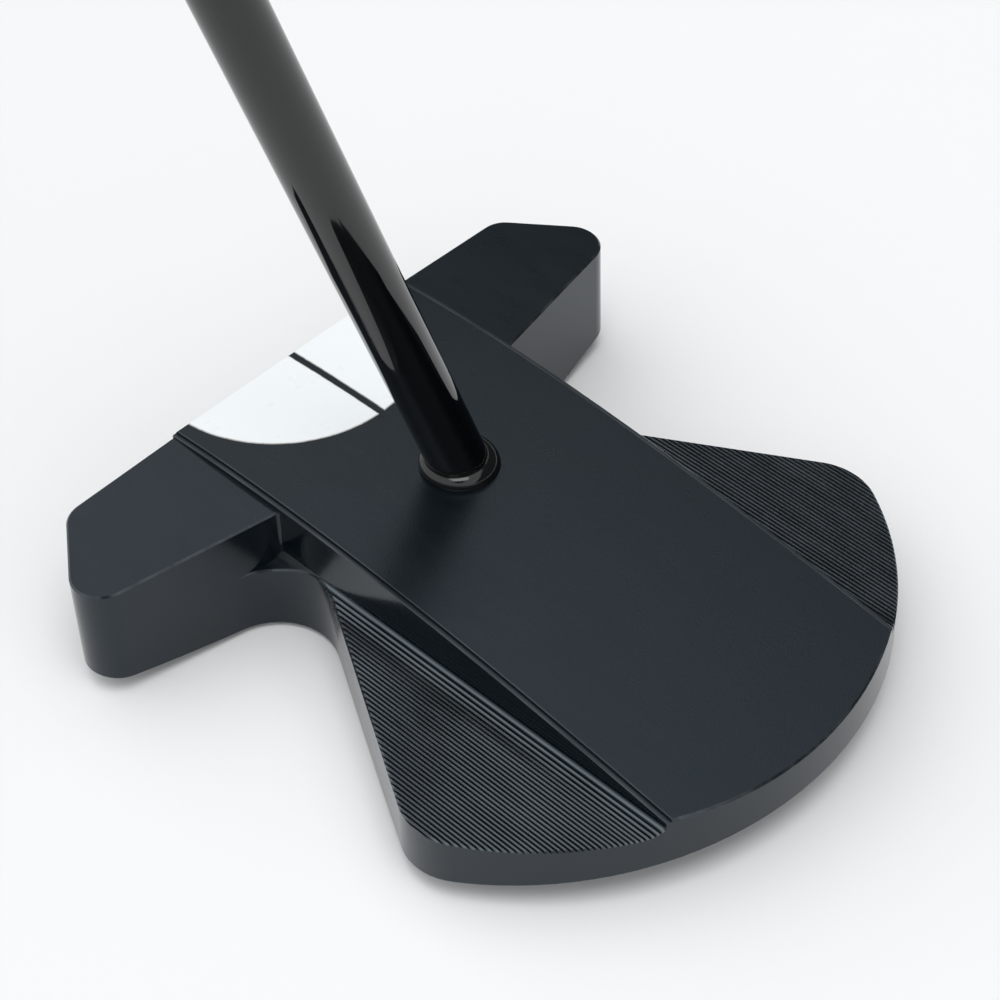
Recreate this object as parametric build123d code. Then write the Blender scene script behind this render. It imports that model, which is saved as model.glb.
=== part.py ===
from build123d import *
from math import hypot, radians, sqrt, tan
import os

# Centre-shafted fan-tail mallet putter, right-handed.
# +X runs from heel to toe, +Y is the target direction, +Z is up. The origin is on the sole's flat,
# 20 mm behind the face and midway between heel and toe. Lengths are in mm.

# ---- driving dimensions -------------------------------------------------------------------------
FACE_Y = 20.0           # the face plane; every "back" distance below is measured from it
BALL_DIAMETER = 42.67   # the white half-moon is one ball wide

# head plan
FACE_HALF = 45.2        # face half-width, to the corner before rounding
BLOCK_HALF = 58.0       # flared half-width, to the corner before rounding
BLOCK_BACK = 16.4       # how far back that corner is
REAR_EDGE_SLOPE = 0.206  # the blocks' rear edges run back towards the middle
FACE_CORNER_R = 4.5
BLOCK_CORNER_R = 5.0
WAIST_R = 9.6
FAN_HALF_AT_FACE = 4.75  # where the fan's straight sides would meet the face plane
FAN_SIDE_SLOPE = 0.585
FAN_ARC_BACK = 53.2     # centre of the tail arc
FAN_ARC_R = 52.4
FAN_CORNER_R = 10.0

# head heights
BLOCK_TOP = 21.7        # at the plateau's side
BLOCK_TOP_SLOPE = 0.026  # the tops fall towards heel and toe
WING_TOP = 12.4         # the level floor of the wings
SWEEP_R = 4.0           # the floor curves up towards the plateau's wall
SWEEP_RISE = 1.3        # and meets it this much higher
UPRIGHT_FILLET = 0.65   # in the corner between the plateau and the block
PLATEAU_HALF = 24.2
PLATEAU_PROFILE = [(0.0, 22.4), (20.0, 23.08), (50.0, 21.72), (78.0, 18.53), (100.0, 15.18), (112.0, 13.17)]
LEDGE_HALF = 23.45      # the plateau's top ends here in a small step down to a ledge
LEDGE_DROP = 0.4
EDGE_BEVEL = 0.3
FINE_BEVEL = 0.25
LEDGE_BEVEL = 0.12

# sole
SOLE_FLAT_HALF = 14.0
CAMBER_R = 256.0
RELIEF_BACK = 41.0      # the sole ramps up from here to the tail
RELIEF_SLOPE = 0.107
SOLE_BEVEL = 0.6

# milled grooves
GROOVE_PITCH = 0.635
GROOVE_DEPTH = 0.3
GROOVE_LAND = 0.24      # flat left on top between two grooves
GROOVE_START_BACK = 31.5
GROOVE_START = 0.2      # clear of the plateau's wall
FACE_GROOVE_PITCH = 1.27
FACE_GROOVE_DEPTH = 0.25
FACE_GROOVE_HALF = 32.0
FACE_GROOVES_Z = (5.0, 18.5)

# white alignment fill
MOON_R = BALL_DIAMETER / 2
MOON_CENTRE_BACK = -0.75
MOON_FLOOR_Z = 21.6
SIGHT_LINE_WIDTH = 0.85
FILL_GAP = 0.12

# shaft
SHAFT_X = 0.53          # where the axis meets the plateau's top
SHAFT_BACK = 36.43
SHAFT_Z = 22.7
LIE = 73.06             # degrees from the ground, leaning towards the heel
LOFT_LEAN = 3.24        # degrees towards the target
SHAFT_TIP_R = 4.51      # the 0.355 in tip
SHAFT_BUTT_R = 7.5
SHAFT_WALL = 0.7
SHAFT_DEPTH = 15.0      # glued length in the head
TAPER_FROM = 230.0
TAPER_TO = 560.0
CLUB_LENGTH = 864.0     # 34 in from the sole to the end of the cap, along the shaft
BOND_GAP = 0.1
TIP_PLUG_LENGTH = 8.0
TIP_PLUG_INSET = 2.0

# collar at the shaft's foot
COLLAR_R = 6.0
COLLAR_RIM_R = 4.85     # a little wider than the leaning shaft's level section
COLLAR_RISE = 1.9       # from where the shaft's axis meets the plateau
COLLAR_SEAT = 1.6       # below the same point
COLLAR_FIT = 0.02       # clearance round the collar in its seat

# grip
GRIP_LENGTH = 267.0
GRIP_CAP_THICK = 3.0
GRIP_TAPE = 0.25
GRIP_SKIN = 1.6
GRIP_SECTIONS = [(0.0, 11.2), (40.0, 11.9), (150.0, 13.2), (GRIP_LENGTH, 14.8)]  # (height, half-depth)
GRIP_FLAT = 0.88        # the thumb flat is this fraction of the half-depth from the axis
GRIP_FLAT_FILLET = 0.35  # of the section's radius
GRIP_CAP_FILLET = 1.2
VENT_R = 2.0
VENT_SHORT = 0.6        # the vent's plug stops this far below the cap's face

# sole weights: x, back, cap radius, cap depth, shank radius, shank length
FRONT_WEIGHT = (39.0, 10.2, 7.0, 6.0, 3.0, 5.0)
TAIL_WEIGHT = (32.0, 76.0, 6.5, 3.2, 2.5, 1.8)
WASHER_THICK = 0.5
SOCKET_R = 2.2
SOCKET_DEPTH = 1.6
WEIGHT_RECESS = 0.25

TALL = 60.0             # taller and wider than any part of the head, for cutting tools
WIDE = 160.0
DOWN = (Align.CENTER, Align.CENTER, Align.MIN)
UP = (Align.CENTER, Align.CENTER, Align.MAX)
HEELWARD = (Align.MAX, Align.CENTER, Align.CENTER)
TOEWARD = (Align.MIN, Align.CENTER, Align.CENTER)


def y_of(back):
    return FACE_Y - back


def save(shape, node):
    shape.label = node
    export_step(shape, f"parts/{node}.step")


def both(shape):
    return shape, mirror(shape, about=Plane.YZ)


# ---- head ---------------------------------------------------------------------------------------
def fan_corner():
    """Where a straight side of the fan meets the tail arc: |x| and the distance behind the face."""
    a = 1 + FAN_SIDE_SLOPE ** 2
    b = 2 * (FAN_SIDE_SLOPE * FAN_HALF_AT_FACE - FAN_ARC_BACK)
    c = FAN_HALF_AT_FACE ** 2 + FAN_ARC_BACK ** 2 - FAN_ARC_R ** 2
    back = (-b + sqrt(b * b - 4 * a * c)) / (2 * a)
    return FAN_HALF_AT_FACE + FAN_SIDE_SLOPE * back, back


def rear_edge_back(x):
    return BLOCK_BACK + REAR_EDGE_SLOPE * (BLOCK_HALF - x)


def waist_point():
    back = rear_edge_back(FAN_HALF_AT_FACE) / (1 + REAR_EDGE_SLOPE * FAN_SIDE_SLOPE)
    return FAN_HALF_AT_FACE + FAN_SIDE_SLOPE * back, back


def head_plan():
    corner_x, corner_back = fan_corner()
    waist_x, waist_back = waist_point()
    right = [(FACE_HALF, 0.0), (BLOCK_HALF, BLOCK_BACK), (waist_x, waist_back), (corner_x, corner_back)]
    points = [(x, y_of(back)) for x, back in right]
    left = [(-x, y) for x, y in reversed(points)]
    tail = (0.0, y_of(FAN_ARC_BACK + FAN_ARC_R))
    plan = make_face(Polyline(*left, *points) + ThreePointArc(points[-1], tail, left[0]))
    radii = ((FACE_HALF, FACE_CORNER_R), (BLOCK_HALF, BLOCK_CORNER_R),
             (waist_x, WAIST_R), (corner_x, FAN_CORNER_R))
    for x, radius in radii:
        corners = [v for v in plan.vertices() if abs(abs(v.X) - x) < 0.01]
        plan = fillet(corners, radius)
    return plan


def along_x(points, x_from, x_to):
    """A prism along X from (y, z) points."""
    plane = Plane(origin=(x_from, 0, 0), x_dir=(0, 1, 0), z_dir=(1, 0, 0))
    return extrude(plane * make_face(Polyline(*points, close=True)), x_to - x_from)


def along_y(points, y_from, y_to):
    """A prism along Y from (x, z) points."""
    plane = Plane(origin=(0, y_to, 0), x_dir=(1, 0, 0), z_dir=(0, -1, 0))
    return extrude(plane * make_face(Polyline(*points, close=True)), y_to - y_from)


def above_plateau():
    """Everything above the plateau's top, a shallow crown that falls away to the tail."""
    knots = [(y_of(back), z) for back, z in PLATEAU_PROFILE]
    crown = Spline(*knots)
    roof = Polyline(knots[-1], (knots[-1][0], TALL), (y_of(-5), TALL), (y_of(-5), knots[0][1]), knots[0])
    plane = Plane(origin=(-WIDE / 2, 0, 0), x_dir=(0, 1, 0), z_dir=(1, 0, 0))
    return extrude(plane * make_face(crown + roof), WIDE)


def above_block():
    """Everything above the toe block's top."""
    fall = BLOCK_TOP - BLOCK_TOP_SLOPE * (WIDE / 2 - PLATEAU_HALF)
    points = [(PLATEAU_HALF, BLOCK_TOP), (WIDE / 2, fall), (WIDE / 2, TALL), (PLATEAU_HALF, TALL)]
    return along_y(points, y_of(WIDE), y_of(-5))


def sweep_rise(beside):
    """How far the wing's floor has curved up, this far outside the plateau's wall."""
    reach = sqrt(SWEEP_R ** 2 - (SWEEP_R - SWEEP_RISE) ** 2)
    return SWEEP_R - sqrt(SWEEP_R ** 2 - max(0.0, reach - beside) ** 2)


def above_wing():
    """Everything above the toe wing's floor, which curves up to meet the plateau's wall."""
    reach = sqrt(SWEEP_R ** 2 - (SWEEP_R - SWEEP_RISE) ** 2)
    foot, middle, level = [(PLATEAU_HALF + u, WING_TOP + sweep_rise(u)) for u in (0, reach / 2, reach)]
    outside = Polyline(level, (WIDE / 2, WING_TOP), (WIDE / 2, TALL), (PLATEAU_HALF, TALL), foot)
    plane = Plane(origin=(0, FACE_Y, 0), x_dir=(1, 0, 0), z_dir=(0, -1, 0))
    room = extrude(plane * make_face(ThreePointArc(foot, middle, level) + outside), WIDE)
    behind = [(x, y_of(rear_edge_back(x))) for x in (PLATEAU_HALF, WIDE / 2)]
    behind += [(WIDE / 2, y_of(WIDE)), (PLATEAU_HALF, y_of(WIDE))]
    room &= extrude(make_face(Polyline(*behind, close=True)), TALL)
    upright = room.edges().filter_by(Axis.Z).sort_by(Axis.X)[:2].sort_by(Axis.Y)[-1]
    return fillet(upright, UPRIGHT_FILLET)


def below_camber():
    """Everything below the sole's heel-to-toe camber: a flat between two arcs."""
    def rise(x):
        return CAMBER_R - sqrt(CAMBER_R ** 2 - (x - SOLE_FLAT_HALF) ** 2)

    end = WIDE / 2
    middle = (end + SOLE_FLAT_HALF) / 2
    edge = Line((-SOLE_FLAT_HALF, 0), (SOLE_FLAT_HALF, 0))
    for sign in (-1, 1):
        points = [(sign * x, rise(x)) for x in (SOLE_FLAT_HALF, middle, end)]
        edge += ThreePointArc(*points)
    edge += Polyline((end, rise(end)), (end, -TALL), (-end, -TALL), (-end, rise(end)))
    plane = Plane(origin=(0, y_of(-5), 0), x_dir=(1, 0, 0), z_dir=(0, -1, 0))
    return extrude(plane * make_face(edge), WIDE)


def sole_z(x, back):
    """Height of the sole's surface above the ground."""
    aside = max(0.0, abs(x) - SOLE_FLAT_HALF)
    camber = CAMBER_R - sqrt(CAMBER_R ** 2 - aside ** 2)
    return max(camber, RELIEF_SLOPE * (back - RELIEF_BACK))


def below_ramp():
    """Everything below the ramp that lifts the sole towards the tail."""
    end = RELIEF_SLOPE * (WIDE - RELIEF_BACK)
    points = [(y_of(RELIEF_BACK), 0), (y_of(WIDE), end), (y_of(WIDE), -TALL), (y_of(RELIEF_BACK), -TALL)]
    return along_x(points, -WIDE / 2, WIDE / 2)


def edges_where(shape, test):
    return [edge for edge in shape.edges() if test(edge @ 0.5)]


def step_plateau(half):
    """A step down to a narrow ledge along the plateau's heel side, with a fine bevel outside it."""
    beside = Pos(-LEDGE_HALF, 0, 0) * Box(WIDE, 2 * WIDE, 4 * TALL, align=HEELWARD)
    half -= Pos(0, 0, -LEDGE_DROP) * above_plateau() & beside
    crest = [e for e in half.edges() if abs((e @ 0.3).X + PLATEAU_HALF) < 0.01
             and e.length > 30 and e.geom_type != GeomType.LINE]
    wall = half.faces().filter_by(lambda f: abs(f.center().X + PLATEAU_HALF) < 0.01).sort_by(SortBy.AREA)[-1]
    return chamfer(crest, LEDGE_BEVEL, LEDGE_BEVEL, reference=wall)


def bevel_tops(half):
    """Small bevels on the top edges of the block, the face, the wing and the tail."""
    beside = PLATEAU_HALF + 0.1
    tail_y = y_of(FAN_ARC_BACK)

    def on_block(m):
        return BLOCK_TOP - 1.2 < m.Z < BLOCK_TOP - 0.0 and m.X < -beside

    def on_face(m):
        return abs(m.Y - FACE_Y) < 0.01 and m.Z > BLOCK_TOP + 0.1 and m.X > -PLATEAU_HALF / 2

    def on_wing(m):
        return abs(m.Z - WING_TOP) < 0.02 and m.X < -beside - SWEEP_RISE and m.Y < y_of(BLOCK_BACK + 8)

    def on_tail(m):
        return abs(hypot(m.X, m.Y - tail_y) - FAN_ARC_R) < 0.02 and m.Z > 13.5 and -23 < m.X < -1

    bevels = ((on_face, FINE_BEVEL), (on_block, EDGE_BEVEL), (on_wing, FINE_BEVEL), (on_tail, EDGE_BEVEL))
    for test, size in bevels:
        half = chamfer(edges_where(half, test), size)
    return half


def bevel_sole(half):
    """A bevel round the sole from the middle of the face to the waist."""
    def at_edge(m):
        low = abs(m.Z - sole_z(m.X, FACE_Y - m.Y)) < 0.02
        return low and m.Y > y_of(RELIEF_BACK - 11) and abs(m.X + SOLE_FLAT_HALF) > 0.1 and m.X < -1

    return chamfer(edges_where(half, at_edge), SOLE_BEVEL)


def plain_head():
    """The head before its grooves, pockets and bore: the heel half, then its mirror image."""
    heel_side = Pos(-WIDE / 2, 0, 0) * Box(WIDE, 2 * WIDE, 4 * TALL)
    half = extrude(head_plan(), TALL) & heel_side
    half -= below_ramp()
    half -= below_camber()
    half -= above_plateau()
    half -= mirror(above_block(), about=Plane.YZ)
    half -= mirror(above_wing(), about=Plane.YZ)
    half = step_plateau(half)
    half = bevel_tops(half)
    half = bevel_sole(half)
    return half + mirror(half, about=Plane.YZ)


def comb(count, pitch, depth, land, first=0.0, rise=lambda u: 0.0, height=2.0):
    """The section of a row of V grooves, from u = first, in a surface whose height at u is rise(u)."""
    points = [(first, height), (first, rise(first))]
    for index in range(count):
        start = first + index * pitch + land
        end = first + (index + 1) * pitch
        low = (start + end) / 2
        points += [(start, rise(start)), (low, rise(low) - depth), (end, rise(end))]
    points += [(end, height)]
    return make_face(Polyline(*points, close=True))


def wing_grooves():
    """The cutter for the fine grooves of the toe wing, parallel to the centre line."""
    count = int((fan_corner()[0] - PLATEAU_HALF) / GROOVE_PITCH) + 1
    section = comb(count, GROOVE_PITCH, GROOVE_DEPTH, GROOVE_LAND, GROOVE_START, sweep_rise)
    plane = Plane(origin=(PLATEAU_HALF, y_of(GROOVE_START_BACK), WING_TOP), x_dir=(1, 0, 0), z_dir=(0, -1, 0))
    return extrude(plane * section, WIDE)


def face_grooves():
    """The cutter for the milled lines across the middle of the face."""
    low, high = FACE_GROOVES_Z
    count = int((high - low) / FACE_GROOVE_PITCH)
    plane = Plane(origin=(FACE_GROOVE_HALF, FACE_Y, low), x_dir=(0, 0, 1), z_dir=(-1, 0, 0))
    section = comb(count, FACE_GROOVE_PITCH, FACE_GROOVE_DEPTH, FACE_GROOVE_PITCH / 2)
    return extrude(plane * section, 2 * FACE_GROOVE_HALF)


def moon_pockets(gap):
    """The two halves of the half-moon, heel and toe, drawn in from the pocket's wall by a gap."""
    disc = Pos(0, y_of(MOON_CENTRE_BACK), MOON_FLOOR_Z) * Cylinder(MOON_R - gap, TALL, align=DOWN)
    half_line = SIGHT_LINE_WIDTH / 2 + gap
    toe_side = Pos(half_line, 0, 0) * Box(WIDE, 2 * WIDE, 4 * TALL, align=TOEWARD)
    toe = disc & toe_side
    return mirror(toe, about=Plane.YZ), toe


# ---- sole weights -------------------------------------------------------------------------------
def weight_places():
    """Name, position and sizes of each weight screw."""
    for name, spec in (("front", FRONT_WEIGHT), ("tail", TAIL_WEIGHT)):
        for side, sign in (("heel", -1), ("toe", 1)):
            yield f"{side}_{name}", sign * spec[0], spec[1], spec[2:]


def weight_seat_z(x, back, cap_r):
    """Height of a weight's outer face: just inside the highest point of the sole under its cap."""
    around = [(x, back), (x + cap_r, back), (x - cap_r, back), (x, back + cap_r), (x, back - cap_r)]
    return max(sole_z(*point) for point in around) + WEIGHT_RECESS


def weight_pocket(x, back, sizes):
    cap_r, cap_depth, shank_r, shank_length = sizes
    seat = weight_seat_z(x, back, cap_r) + cap_depth + WASHER_THICK
    place = Pos(x, y_of(back), 0)
    pocket = place * Cylinder(cap_r + FILL_GAP, seat + TALL, align=UP).translate((0, 0, seat))
    return pocket + place * Cylinder(shank_r, shank_length, align=DOWN).translate((0, 0, seat))


def weight_screw(x, back, sizes):
    """A flat cap with a threaded shank and a hexagon socket."""
    cap_r, cap_depth, shank_r, shank_length = sizes
    outer = weight_seat_z(x, back, cap_r)
    cap = Pos(0, 0, outer) * Cylinder(cap_r, cap_depth, align=DOWN)
    cap = chamfer(cap.edges().group_by(Axis.Z)[0], WEIGHT_RECESS)
    shank = Pos(0, 0, outer + cap_depth) * Cylinder(shank_r, shank_length + WASHER_THICK, align=DOWN)
    socket = Pos(0, 0, outer) * extrude(RegularPolygon(SOCKET_R, 6), SOCKET_DEPTH)
    return Pos(x, y_of(back), 0) * (cap + shank - socket)


def weight_washer(x, back, sizes):
    cap_r, cap_depth, shank_r, _ = sizes
    under = weight_seat_z(x, back, cap_r) + cap_depth
    ring = Cylinder(cap_r, WASHER_THICK, align=DOWN) - Cylinder(shank_r, WASHER_THICK, align=DOWN)
    return Pos(x, y_of(back), under) * ring


# ---- shaft, collar and grip, drawn along the shaft's own axis -------------------------------------
def shaft_frame():
    """Z runs up the shaft from where its axis meets the plateau; X points away from the player."""
    axis = Vector(-1 / tan(radians(LIE)), tan(radians(LOFT_LEAN)), 1).normalized()
    away = Vector(1, 0, 0) - axis * axis.X
    return Plane(origin=(SHAFT_X, y_of(SHAFT_BACK), SHAFT_Z), x_dir=away, z_dir=axis)


def turned(points):
    """A solid of revolution about Z from (radius, height) points."""
    return revolve(Plane.XZ * make_face(Polyline(*points, close=True)), Axis.Z)


def butt_height():
    """Height of the top of the grip's cap above the plateau, along the shaft."""
    return CLUB_LENGTH - SHAFT_Z / shaft_frame().z_dir.Z


def shaft_profile(inset):
    top = butt_height() - GRIP_CAP_THICK
    steps = [(SHAFT_TIP_R, -SHAFT_DEPTH), (SHAFT_TIP_R, TAPER_FROM),
             (SHAFT_BUTT_R, TAPER_TO), (SHAFT_BUTT_R, top)]
    return [(radius - inset, height) for radius, height in steps]


def shaft_tube():
    return turned(shaft_profile(0) + shaft_profile(SHAFT_WALL)[::-1])


def shaft_plug():
    """The stopper that keeps the glue out of the tube."""
    radius = SHAFT_TIP_R - SHAFT_WALL
    return Pos(0, 0, TIP_PLUG_INSET - SHAFT_DEPTH) * Cylinder(radius, TIP_PLUG_LENGTH, align=DOWN)


def shaft_bond(frame):
    """The film of epoxy between the shaft and its bore, up to the collar's seat."""
    sleeve = Cylinder(SHAFT_TIP_R + BOND_GAP, SHAFT_DEPTH, align=DOWN)
    sleeve -= Cylinder(SHAFT_TIP_R, SHAFT_DEPTH, align=DOWN)
    below_seat = Pos(0, 0, SHAFT_Z - COLLAR_SEAT) * Box(WIDE, WIDE, TALL, align=UP)
    return frame * Pos(0, 0, -SHAFT_DEPTH) * sleeve & below_seat


def leaned(shape, frame):
    """A shape drawn round a vertical axis, its level sections shifted to follow the leaning shaft."""
    across = frame.z_dir.X / frame.z_dir.Z
    along = frame.z_dir.Y / frame.z_dir.Z
    shear = Matrix([[1, 0, across, 0], [0, 1, along, 0], [0, 0, 1, 0]])
    return Pos(SHAFT_X, y_of(SHAFT_BACK), SHAFT_Z) * shape.transform_geometry(shear)


def shaft_bore(frame):
    """The shaft's bore and the level seat of its collar."""
    seat_r = COLLAR_R + COLLAR_FIT
    bore = frame * Pos(0, 0, -SHAFT_DEPTH) * Cylinder(SHAFT_TIP_R + BOND_GAP, TALL, align=DOWN)
    return bore + leaned(Pos(0, 0, -COLLAR_SEAT) * Cylinder(seat_r, SHAFT_DEPTH, align=DOWN), frame)


def collar(frame):
    """A rounded bead that hides the joint between the shaft and the head."""
    side = Line((COLLAR_R, -COLLAR_SEAT), (COLLAR_R, 0))
    rim = (COLLAR_RIM_R, COLLAR_RISE)
    crown = (COLLAR_RIM_R + (COLLAR_R - COLLAR_RIM_R) * sqrt(0.5), COLLAR_RISE * sqrt(0.5))
    dome = ThreePointArc((COLLAR_R, 0), crown, rim)
    inside = Polyline(rim, (0, COLLAR_RISE), (0, -COLLAR_SEAT), (COLLAR_R, -COLLAR_SEAT))
    bead = leaned(revolve(Plane.XZ * make_face(side + dome + inside), Axis.Z), frame)
    return bead - frame * Pos(0, 0, -SHAFT_DEPTH) * Cylinder(SHAFT_TIP_R, 2 * SHAFT_DEPTH, align=DOWN)


def grip_section(height, half_depth, inset):
    """A round section with a flat for the thumbs on the side away from the player."""
    radius = half_depth - inset
    flat_x = half_depth * GRIP_FLAT - inset
    disc = Circle(radius) - Pos(flat_x + radius, 0) * Rectangle(2 * radius, 4 * radius)
    disc = fillet(disc.vertices(), radius * GRIP_FLAT_FILLET)
    return Pos(0, 0, height) * disc


def grip_body(inset):
    foot = butt_height() - GRIP_CAP_THICK - GRIP_LENGTH
    sections = [grip_section(foot + height, half_depth, inset) for height, half_depth in GRIP_SECTIONS]
    return loft(sections, ruled=False)


def grip_parts():
    """The grip from the inside out: tape, foam core, skin, end cap and vent plug."""
    top = butt_height() - GRIP_CAP_THICK
    foot = top - GRIP_LENGTH
    tape = turned([(SHAFT_BUTT_R, foot), (SHAFT_BUTT_R + GRIP_TAPE, foot),
                   (SHAFT_BUTT_R + GRIP_TAPE, top), (SHAFT_BUTT_R, top)])
    hole = Pos(0, 0, foot - 1) * Cylinder(SHAFT_BUTT_R + GRIP_TAPE, GRIP_LENGTH + 2, align=DOWN)
    inside = grip_body(GRIP_SKIN)
    core = inside - hole
    skin = grip_body(0) - inside
    rim = grip_section(top, GRIP_SECTIONS[-1][1], 0)
    cap = extrude(rim, GRIP_CAP_THICK, dir=(0, 0, 1))
    cap = fillet(cap.faces().sort_by(Axis.Z)[-1].edges(), GRIP_CAP_FILLET)
    vent = Pos(0, 0, top) * Cylinder(VENT_R, GRIP_CAP_THICK - VENT_SHORT, align=DOWN)
    cap -= Pos(0, 0, top) * Cylinder(VENT_R, GRIP_CAP_THICK, align=DOWN)
    return {"grip_tape": tape, "grip_core": core, "grip_skin": skin,
            "grip_end_cap": cap, "grip_vent_plug": vent}


# ---- assembly -----------------------------------------------------------------------------------
def main():
    os.makedirs("parts", exist_ok=True)
    frame = shaft_frame()
    plain = plain_head()
    head = plain
    for cutter in both(wing_grooves()):
        head -= cutter
    head -= face_grooves()
    for pocket in moon_pockets(0):
        head -= pocket
    bore = shaft_bore(frame)
    head -= bore
    for name, x, back, sizes in weight_places():
        head -= weight_pocket(x, back, sizes)
        save(weight_screw(x, back, sizes), f"{name}_weight")
        save(weight_washer(x, back, sizes), f"{name}_weight_washer")
    save(head, "head_body")

    for side, fill in zip(("heel", "toe"), moon_pockets(FILL_GAP)):
        save((plain & fill) - bore, f"alignment_fill_{side}")

    save(frame * shaft_tube(), "shaft")
    save(frame * shaft_plug(), "shaft_tip_plug")
    save(shaft_bond(frame), "shaft_bond")
    save(collar(frame), "shaft_collar")
    for node, shape in grip_parts().items():
        save(frame * shape, node)


if __name__ == "__main__":
    main()
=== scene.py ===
"""The looks of the mallet putter: materials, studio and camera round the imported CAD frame, in metres."""
import math

import bpy
from mathutils import Matrix, Vector


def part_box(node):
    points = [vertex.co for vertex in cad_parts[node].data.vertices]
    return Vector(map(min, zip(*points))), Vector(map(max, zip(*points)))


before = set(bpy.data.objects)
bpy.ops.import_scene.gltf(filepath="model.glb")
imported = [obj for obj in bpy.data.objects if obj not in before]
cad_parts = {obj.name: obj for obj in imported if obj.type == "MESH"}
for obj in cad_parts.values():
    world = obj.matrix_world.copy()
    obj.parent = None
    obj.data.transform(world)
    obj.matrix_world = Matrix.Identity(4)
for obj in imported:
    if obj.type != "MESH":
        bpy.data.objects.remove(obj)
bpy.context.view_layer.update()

# ---- camera -------------------------------------------------------------------------------------
CAMERA_PLACE = (-0.20111, -0.23157, 0.31401)
CAMERA_YAW = 44.2576    # degrees from +Y towards +X
CAMERA_DIP = 45.4582    # degrees below the horizon
CAMERA_ROLL = -2.2034
CAMERA_LENS = 100.755   # mm
SENSOR_WIDTH = 36       # mm
CLIP_START, CLIP_END = 0.01, 20


def make_camera():
    """The camera looks forward and down at the head, from behind it and from the heel's side."""
    yaw, dip, roll = (math.radians(a) for a in (CAMERA_YAW, CAMERA_DIP, CAMERA_ROLL))
    ahead = Vector((math.sin(yaw) * math.cos(dip), math.cos(yaw) * math.cos(dip), -math.sin(dip)))
    across = Vector((math.cos(yaw), -math.sin(yaw), 0))
    upward = across.cross(ahead)
    right = math.cos(roll) * across + math.sin(roll) * upward
    up = math.cos(roll) * upward - math.sin(roll) * across
    data = bpy.data.cameras.new("camera")
    data.sensor_width = SENSOR_WIDTH
    data.lens = CAMERA_LENS
    data.clip_start, data.clip_end = CLIP_START, CLIP_END
    camera = bpy.data.objects.new("camera", data)
    camera.matrix_world = Matrix.Translation(CAMERA_PLACE) @ Matrix((right, up, -ahead)).transposed().to_4x4()
    bpy.context.scene.collection.objects.link(camera)
    bpy.context.scene.camera = camera


# ---- places on the head that the materials follow, as in the CAD --------------------------------
MM = 0.001
PLATEAU_HALF = 24.2 * MM    # from the middle to the plateau's side walls
LEDGE_HALF = 23.45 * MM     # from the middle to the ledge's inner edge
LEDGE_BEVEL = 0.12 * MM     # how far the crest stands in from that edge
WING_TOP = 12.4 * MM        # height of the wings' level floor
GROOVE_START_Y = -11.5 * MM  # the grooves lie behind this line
GROOVE_START = 0.2 * MM     # from the plateau's wall to the first land
GROOVE_PITCH = 0.635 * MM
GROOVE_LAND = 0.24 * MM
GROOVE_TOP = WING_TOP + 1.4 * MM      # just over the wall's foot, which the grooves climb
GROOVE_BOTTOM = WING_TOP - 0.36 * MM  # just under the grooves' bottoms
CREST_WIDTH = 0.16 * MM     # of the painted highlight along the crest
LEDGE_BLUR = 0.1 * MM       # over which the ledge's painted highlight comes in
WALL_SLACK = 0.03 * MM      # so that the ledge's look reaches its outer edge


# ---- materials ----------------------------------------------------------------------------------
NOISE_ROUGHNESS = 0.55  # how strong the finer layers of every noise are


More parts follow.
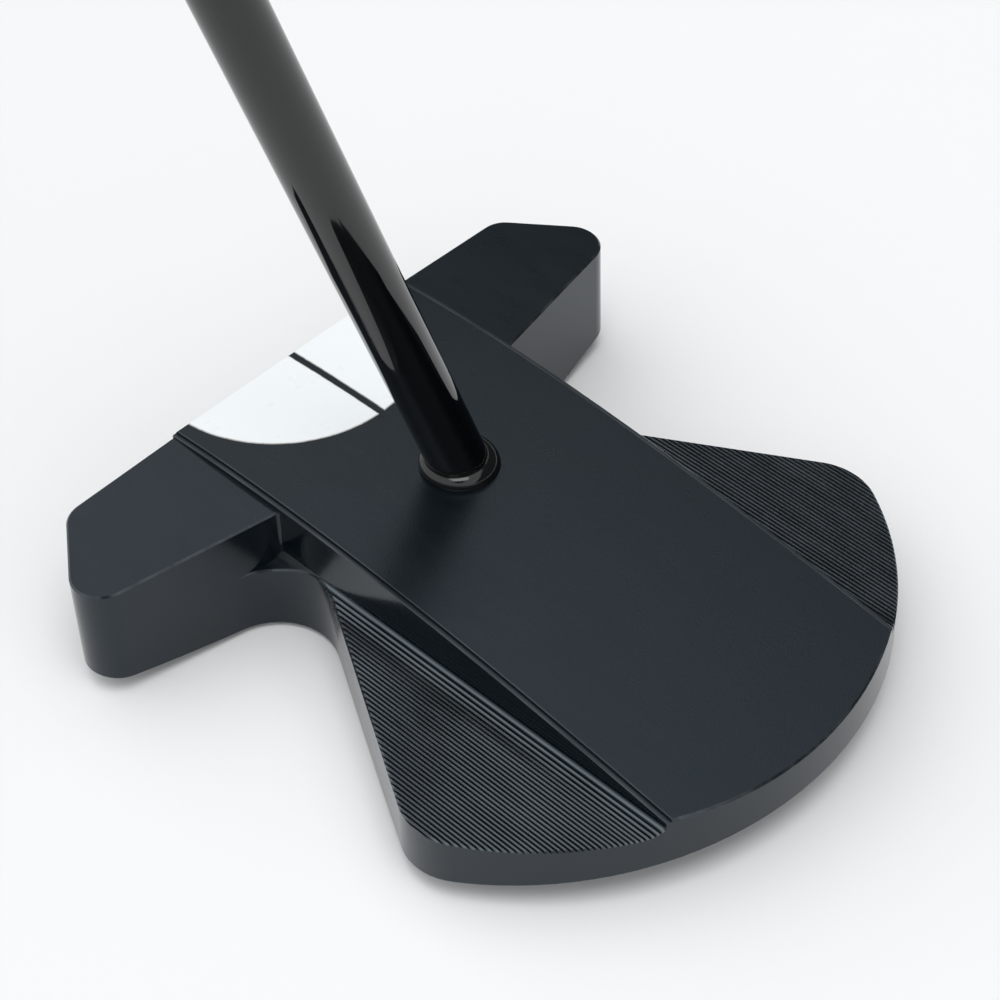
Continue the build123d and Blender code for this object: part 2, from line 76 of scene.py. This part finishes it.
class Nodes:
    """A short way to write a material's nodes. Places are in metres, in the object's own frame."""

    def __init__(self, name):
        self.material = bpy.data.materials.new(name)
        self.material.use_nodes = True
        self.tree = self.material.node_tree
        self.tree.nodes.clear()
        self.shader = self.tree.nodes.new("ShaderNodeBsdfPrincipled")
        out = self.tree.nodes.new("ShaderNodeOutputMaterial")
        self.tree.links.new(self.shader.outputs[0], out.inputs[0])
        self.place = self.tree.nodes.new("ShaderNodeTexCoord").outputs["Object"]
        self.normal = self.tree.nodes.new("ShaderNodeNewGeometry").outputs["Normal"]

    def put(self, socket, value):
        """Link another node's output to a socket, or set the socket's own value."""
        if hasattr(value, "is_output"):
            self.tree.links.new(value, socket)
        else:
            socket.default_value = value

    def set(self, **values):
        """Set the shader's inputs by name, with _ for a space."""
        for name, value in values.items():
            self.put(self.shader.inputs[name.replace("_", " ")], value)

    def node(self, kind, inputs=(), output=0, **fields):
        made = self.tree.nodes.new("ShaderNode" + kind)
        for field, value in fields.items():
            setattr(made, field, value)
        for name, value in dict(inputs).items():
            self.put(made.inputs[name], value)
        return made.outputs[output]

    def calc(self, operation, *values):
        return self.node("Math", dict(enumerate(values)), operation=operation)

    def split(self, vector):
        return [self.node("SeparateXYZ", {0: vector}, output=axis) for axis in range(3)]

    def fade(self, value, start, end, low=0.0, high=1.0):
        """Low up to start, high from end, and smooth between."""
        ends = {"Value": value, "From Min": start, "From Max": end, "To Min": low, "To Max": high}
        return self.node("MapRange", ends, interpolation_type="SMOOTHSTEP")

    def blend(self, amount, low, high):
        """From one colour to another."""
        return self.node("Mix", {0: amount, 6: low, 7: high}, output=2, data_type="RGBA")

    def noise(self, size, stretch=(1, 1, 1), detail=3.0):
        """Noise from 0 to 1 whose grains are about this size, in metres."""
        where = self.node("Mapping", {"Vector": self.place, "Scale": stretch})
        inputs = {"Vector": where, "Scale": 1 / size, "Detail": detail, "Roughness": NOISE_ROUGHNESS}
        return self.node("TexNoise", inputs)

    def out_from(self, centre_x, centre_y):
        """How far out a point is from the upright axis through this place."""
        x, y, _ = self.split(self.place)
        across = self.calc("POWER", self.calc("SUBTRACT", x, centre_x), 2.0)
        along = self.calc("POWER", self.calc("SUBTRACT", y, centre_y), 2.0)
        return self.calc("SQRT", self.calc("ADD", across, along))

    def bump(self, *heights):
        """The normal bent by each (height, depth in metres, strength)."""
        bent = None
        for height, depth, strength in heights:
            inputs = {"Height": height, "Distance": depth, "Strength": strength}
            if bent:
                inputs["Normal"] = bent
            bent = self.node("Bump", inputs)
        return bent


def grey(value, blue=1.1):
    """A grey whose blue is this many times its red, with green half way between."""
    return value, value * (1 + blue) / 2, value * blue, 1


def satin_black():
    """Anodised aluminium: blasted tops, smoother milled walls, edges lightened as wear and painted highlight,
    ridges lightened as bare metal and painted highlight, and painted shade in the grooves.
    """
    n = Nodes("satin_black")
    x, y, z = n.split(n.place)
    up = n.split(n.normal)[2]
    flat = n.calc("ABSOLUTE", up)
    top = n.fade(flat, 0.8, 0.97)
    wall = n.fade(flat, 0.25, 0.6, 1.0, 0.0)
    edge = n.calc("MULTIPLY", n.calc("SUBTRACT", 1.0, top), n.calc("SUBTRACT", 1.0, wall))

    # the wings' lands, lightened as bare metal and painted highlight, and the grooves between them, darkened
    # with painted shade
    beside = n.calc("ABSOLUTE", x)
    wing = n.calc("MULTIPLY", n.calc("GREATER_THAN", beside, PLATEAU_HALF),
                  n.calc("LESS_THAN", z, GROOVE_TOP))
    wing = n.calc("MULTIPLY", wing, n.calc("GREATER_THAN", z, GROOVE_BOTTOM))
    wing = n.calc("MULTIPLY", wing, n.calc("LESS_THAN", y, GROOVE_START_Y))
    wing = n.calc("MULTIPLY", wing, n.fade(up, 0.3, 0.5))
    first_land = PLATEAU_HALF + GROOVE_START + GROOVE_LAND / 2
    across = n.calc("DIVIDE", n.calc("SUBTRACT", beside, first_land), GROOVE_PITCH)
    away = n.calc("PINGPONG", across, 0.5)
    land = n.calc("MULTIPLY", wing, n.fade(away, 0.14, 0.3, 1.0, 0.0))
    valley_shade = n.calc("MULTIPLY", wing, n.fade(away, 0.2, 0.42))

    # the plateau's ledge, and the crest of the step above it, lightened with a painted highlight
    ledge = n.calc("MULTIPLY", n.fade(beside, LEDGE_HALF + LEDGE_BLUR, PLATEAU_HALF - LEDGE_BLUR),
                   n.calc("LESS_THAN", beside, PLATEAU_HALF + WALL_SLACK))
    from_crest = n.calc("ABSOLUTE", n.calc("SUBTRACT", beside, LEDGE_HALF - LEDGE_BEVEL))
    crest = n.fade(from_crest, 0.0, CREST_WIDTH, 1.0, 0.0)
    ledge_highlight = n.calc("MULTIPLY", n.calc("MAXIMUM", n.calc("MULTIPLY", ledge, 0.5), crest), top)

    grain = n.noise(0.3 * MM, detail=3.0)
    cloud = n.noise(9 * MM)
    smear = n.noise(2.5 * MM, (1, 0.25, 1))
    mill = n.noise(0.12 * MM, (1, 1, 0.04), detail=1.0)
    colour = n.blend(cloud, grey(0.0012, 3.4), grey(0.0022, 3.0))
    worn_and_highlight, bare_metal_and_highlight, shaded = grey(0.05, 1.15), grey(0.115, 1.3), grey(0.0015, 1.2)
    # bevels lightened: partly wear, partly a painted highlight where they catch the light
    colour = n.blend(n.calc("MULTIPLY", edge, n.fade(smear, 0.35, 0.7, 0.2, 0.7)), colour, worn_and_highlight)
    # painted highlight on the ledge and along the crest
    colour = n.blend(n.calc("MULTIPLY", ledge_highlight, n.fade(smear, 0.3, 0.7, 0.5, 1.0)), colour, worn_and_highlight)
    # lands lightened: partly bare metal, partly a painted highlight
    colour = n.blend(n.calc("MULTIPLY", land, n.fade(smear, 0.2, 0.8, 0.75, 1.0)), colour, bare_metal_and_highlight)
    # painted shade in the grooves
    colour = n.blend(valley_shade, colour, shaded)
    rough = n.calc("ADD", n.fade(top, 0.0, 1.0, 0.15, 0.29), n.fade(smear, 0.2, 0.8, -0.025, 0.025))
    rough = n.calc("MULTIPLY", rough, n.fade(land, 0.0, 1.0, 1.0, 0.8))
    n.set(Base_Color=colour, Roughness=rough, IOR=1.5, Metallic=n.calc("MULTIPLY", land, 0.85))
    n.set(Specular_Tint=(0.74, 0.87, 1.0, 1))
    blast = n.calc("MULTIPLY", grain, top)
    lines = n.calc("MULTIPLY", mill, wall)
    n.set(Normal=n.bump((blast, 0.03 * MM, 0.6), (lines, 0.001 * MM, 0.2)))
    return n.material


def white_enamel():
    """The half-moon's fill: satin enamel, darker where it meets the edges of its pocket."""
    n = Nodes("white_enamel")
    low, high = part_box("alignment_fill_heel")
    radius = -low[0]
    sight_line = -high[0]
    beside = n.calc("ABSOLUTE", n.split(n.place)[0])
    rim = n.fade(n.out_from(0.0, low[1] + radius), radius - 0.35 * MM, radius - 0.05 * MM)
    inner = n.fade(beside, sight_line + 0.05 * MM, sight_line + 0.25 * MM, 1.0, 0.0)
    cloud = n.noise(5 * MM)
    patchy = n.fade(n.noise(1.5 * MM), 0.3, 0.7, 0.5, 0.9)
    border = n.calc("MULTIPLY", n.calc("MAXIMUM", rim, inner), patchy)
    colour = n.blend(cloud, (0.858, 0.878, 0.892, 1), (0.866, 0.886, 0.898, 1))
    colour = n.blend(border, colour, (0.2, 0.165, 0.14, 1))
    n.set(Base_Color=colour, Roughness=n.fade(cloud, 0.2, 0.8, 0.25, 0.4), IOR=1.5)
    return n.material


def gloss_black():
    """The shaft's plating: mirror black with faint polishing marks and handling smears."""
    n = Nodes("gloss_black")
    smear = n.noise(14 * MM, (1, 1, 0.3))
    polish = n.noise(0.3 * MM, (1, 1, 9), detail=2.0)
    n.set(Base_Color=n.blend(smear, grey(0.0005), grey(0.0015)), IOR=1.55)
    n.set(Roughness=n.fade(smear, 0.3, 0.75, 0.03, 0.075))
    n.set(Normal=n.bump((polish, 0.0006 * MM, 0.3)))
    return n.material


def moulded_gloss():
    """The collar: moulded gloss black with a slight orange peel."""
    n = Nodes("moulded_gloss")
    peel = n.noise(0.9 * MM, detail=1.0)
    cloud = n.noise(4 * MM)
    n.set(Base_Color=n.blend(cloud, grey(0.003), grey(0.007)), IOR=1.5)
    n.set(Roughness=n.fade(cloud, 0.25, 0.75, 0.07, 0.14), Normal=n.bump((peel, 0.006 * MM, 0.35)))
    return n.material


def amber_epoxy():
    """The bond's cured epoxy, with the lumps that squeezing out leaves."""
    n = Nodes("amber_epoxy")
    cloud = n.noise(1.2 * MM)
    n.set(Base_Color=n.blend(cloud, (0.5, 0.36, 0.14, 1), (0.72, 0.58, 0.3, 1)))
    n.set(Roughness=n.fade(cloud, 0.2, 0.8, 0.15, 0.35), Normal=n.bump((n.noise(0.4 * MM), 0.02 * MM, 0.5)))
    return n.material


def foam(name, dark, light, cell):
    """Closed-cell foam: small pits and a mottled colour."""
    n = Nodes(name)
    cells = n.node("TexVoronoi", {"Vector": n.place, "Scale": 1 / cell})
    pits = n.fade(cells, 0.15, 0.6)
    n.set(Base_Color=n.blend(n.calc("MULTIPLY", pits, n.noise(6 * MM)), dark, light))
    n.set(Roughness=n.fade(pits, 0.0, 1.0, 0.95, 0.75), Normal=n.bump((pits, 0.25 * cell, 0.7)))
    return n.material


def turned_steel(node):
    """A weight screw: stainless steel with the rings that turning leaves round its own centre."""
    ring_pitch = 0.22 * MM
    n = Nodes("turned_steel_" + node)
    low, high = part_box(node)
    out = n.out_from((low[0] + high[0]) / 2, (low[1] + high[1]) / 2)
    rings = n.calc("SINE", n.calc("MULTIPLY", out, 2 * math.pi / ring_pitch))
    cloud = n.noise(2.5 * MM)
    n.set(Base_Color=n.blend(cloud, (0.36, 0.36, 0.37, 1), (0.52, 0.51, 0.5, 1)), Metallic=1.0)
    n.set(Roughness=n.calc("ADD", n.fade(rings, -1.0, 1.0, 0.24, 0.3), n.fade(cloud, 0.2, 0.8, 0.0, 0.1)))
    n.set(Normal=n.bump((rings, 0.003 * MM, 0.5), (n.noise(0.3 * MM, (1, 6, 1)), 0.002 * MM, 0.4)))
    return n.material


def moulded_matt(name, colour):
    """Moulded plastic with a spark-eroded texture."""
    n = Nodes(name)
    spark = n.noise(0.22 * MM, detail=4.0)
    cloud = n.noise(7 * MM)
    n.set(Base_Color=n.blend(cloud, grey(colour * 0.7, 1.0), grey(colour * 1.3, 1.0)))
    n.set(Roughness=n.fade(spark, 0.3, 0.7, 0.5, 0.68), Normal=n.bump((spark, 0.03 * MM, 0.45)))
    return n.material


def cloth_tape():
    """The grip's tape: a plain weave."""
    turns = 2 * math.pi / (0.5 * MM)
    n = Nodes("cloth_tape")
    x, y, z = n.split(n.place)
    warp = n.calc("SINE", n.calc("MULTIPLY", n.calc("ADD", x, y), turns))
    weft = n.calc("SINE", n.calc("MULTIPLY", z, turns))
    weave = n.fade(n.calc("MULTIPLY", warp, weft), -1.0, 1.0)
    n.set(Base_Color=n.blend(weave, (0.55, 0.5, 0.4, 1), (0.78, 0.73, 0.62, 1)))
    n.set(Roughness=n.fade(n.noise(3 * MM), 0.2, 0.8, 0.75, 0.9), Normal=n.bump((weave, 0.08 * MM, 0.6)))
    return n.material


def grip_rubber():
    """Matt rubber with fine pebbles, shinier where the hands rub it."""
    n = Nodes("grip_rubber")
    pebble = n.node("TexVoronoi", {"Vector": n.place, "Scale": 1 / (0.75 * MM), "Smoothness": 0.4},
                    feature="SMOOTH_F1")
    dome = n.fade(pebble, 0.05, 0.6, 1.0, 0.0)
    wear = n.noise(22 * MM)
    n.set(Base_Color=n.blend(n.calc("MULTIPLY", dome, wear), grey(0.009, 1.0), grey(0.034, 1.02)))
    n.set(Roughness=n.calc("SUBTRACT", n.fade(dome, 0.0, 1.0, 0.8, 0.62), n.fade(wear, 0.5, 0.75, 0.0, 0.12)))
    n.set(Normal=n.bump((dome, 0.12 * MM, 0.6), (n.noise(0.15 * MM), 0.01 * MM, 0.4)))
    return n.material


def dress():
    """Give each CAD node the finish of its material slot."""
    finishes = {
        "head_black": satin_black(),
        "fill_white": white_enamel(),
        "shaft_black": gloss_black(),
        "collar_black": moulded_gloss(),
        "epoxy": amber_epoxy(),
        "cork": foam("stopper_foam", (0.3, 0.25, 0.17, 1), (0.6, 0.52, 0.4, 1), 0.6 * MM),
        "washer_nylon": moulded_matt("nylon", 0.03),
        "tape": cloth_tape(),
        "grip_foam": foam("core_foam", grey(0.02, 1.0), grey(0.09, 1.0), 0.8 * MM),
        "grip_rubber": grip_rubber(),
        "cap_plastic": moulded_matt("cap_plastic", 0.02),
    }
    for name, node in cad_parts.items():
        slot = node.data.materials[0].name
        node.data.materials[0] = turned_steel(name) if slot == "weight_steel" else finishes[slot]


# ---- studio -------------------------------------------------------------------------------------
DOME = 1.18                              # radiance
DOME_COLOUR = (0.96, 0.99, 1.0, 1)
SCREEN_TOWARD = (0.831, -0.061, -0.552)  # the dark screen fills the dome's half on this side
SCREEN_BLUR = 0.03                       # half the width of its soft edge, as a cosine
SCREEN_LEVEL = 0.06                      # of the dome's radiance
LENS_OUTER, LENS_INNER = 16, 7           # degrees from the camera's direction where its patch fades
LENS_LEVEL = 0.1                         # of what is round it
FLOOR_HALF = 6.0                         # from the floor's middle to its edges
LAMP_PLACE = (-0.3, -0.5, 2.2)
LAMP_SIZE = 1.2
LAMP_POWER = 16                          # watts


def paper_white():
    """The plain pale floor."""
    n = Nodes("paper_white")
    n.set(Base_Color=(0.84, 0.835, 0.835, 1), Roughness=0.8)
    return n.material


def make_floor():
    mesh = bpy.data.meshes.new("floor")
    corners = [(x * FLOOR_HALF, y * FLOOR_HALF, 0) for x, y in ((-1, -1), (1, -1), (1, 1), (-1, 1))]
    mesh.from_pydata(corners, [], [(0, 1, 2, 3)])
    floor = bpy.data.objects.new("floor", mesh)
    bpy.context.scene.collection.objects.link(floor)
    mesh.materials.append(paper_white())


def make_sky():
    """A white dome with a dark screen low on the toe side and a dark patch where the camera stands."""
    world = bpy.data.worlds.new("studio")
    bpy.context.scene.world = world
    world.use_nodes = True
    tree = world.node_tree
    place = tree.nodes.new("ShaderNodeTexCoord").outputs["Generated"]

    def shade(toward, start, end, low, high):
        """Low up to start and high from end, by how far a direction points toward another."""
        dot = tree.nodes.new("ShaderNodeVectorMath")
        dot.operation = "DOT_PRODUCT"
        dot.inputs[1].default_value = Vector(toward).normalized()
        tree.links.new(place, dot.inputs[0])
        fade = tree.nodes.new("ShaderNodeMapRange")
        fade.interpolation_type = "SMOOTHSTEP"
        tree.links.new(dot.outputs["Value"], fade.inputs["Value"])
        for name, value in (("From Min", start), ("From Max", end), ("To Min", low), ("To Max", high)):
            fade.inputs[name].default_value = value
        return fade.outputs[0]

    def times(first, second):
        made = tree.nodes.new("ShaderNodeMath")
        made.operation = "MULTIPLY"
        tree.links.new(first, made.inputs[0])
        tree.links.new(second, made.inputs[1])
        return made.outputs[0]

    outer, inner = (math.cos(math.radians(angle)) for angle in (LENS_OUTER, LENS_INNER))
    screen = shade(SCREEN_TOWARD, -SCREEN_BLUR, SCREEN_BLUR, DOME, DOME * SCREEN_LEVEL)
    lens = shade(CAMERA_PLACE, outer, inner, 1.0, LENS_LEVEL)
    background = tree.nodes["Background"]
    tree.links.new(times(screen, lens), background.inputs["Strength"])
    background.inputs["Color"].default_value = DOME_COLOUR


def make_lights():
    """One soft square lamp overhead, turned to the head."""
    data = bpy.data.lights.new("overhead", "AREA")
    data.shape = "SQUARE"
    data.size = LAMP_SIZE
    data.energy = LAMP_POWER
    light = bpy.data.objects.new("overhead", data)
    light.location = LAMP_PLACE
    light.rotation_euler = (-Vector(LAMP_PLACE)).to_track_quat("-Z", "Y").to_euler()
    bpy.context.scene.collection.objects.link(light)


make_camera()
dress()
make_floor()
make_sky()
make_lights()
bpy.context.scene.view_settings.view_transform = "Standard"
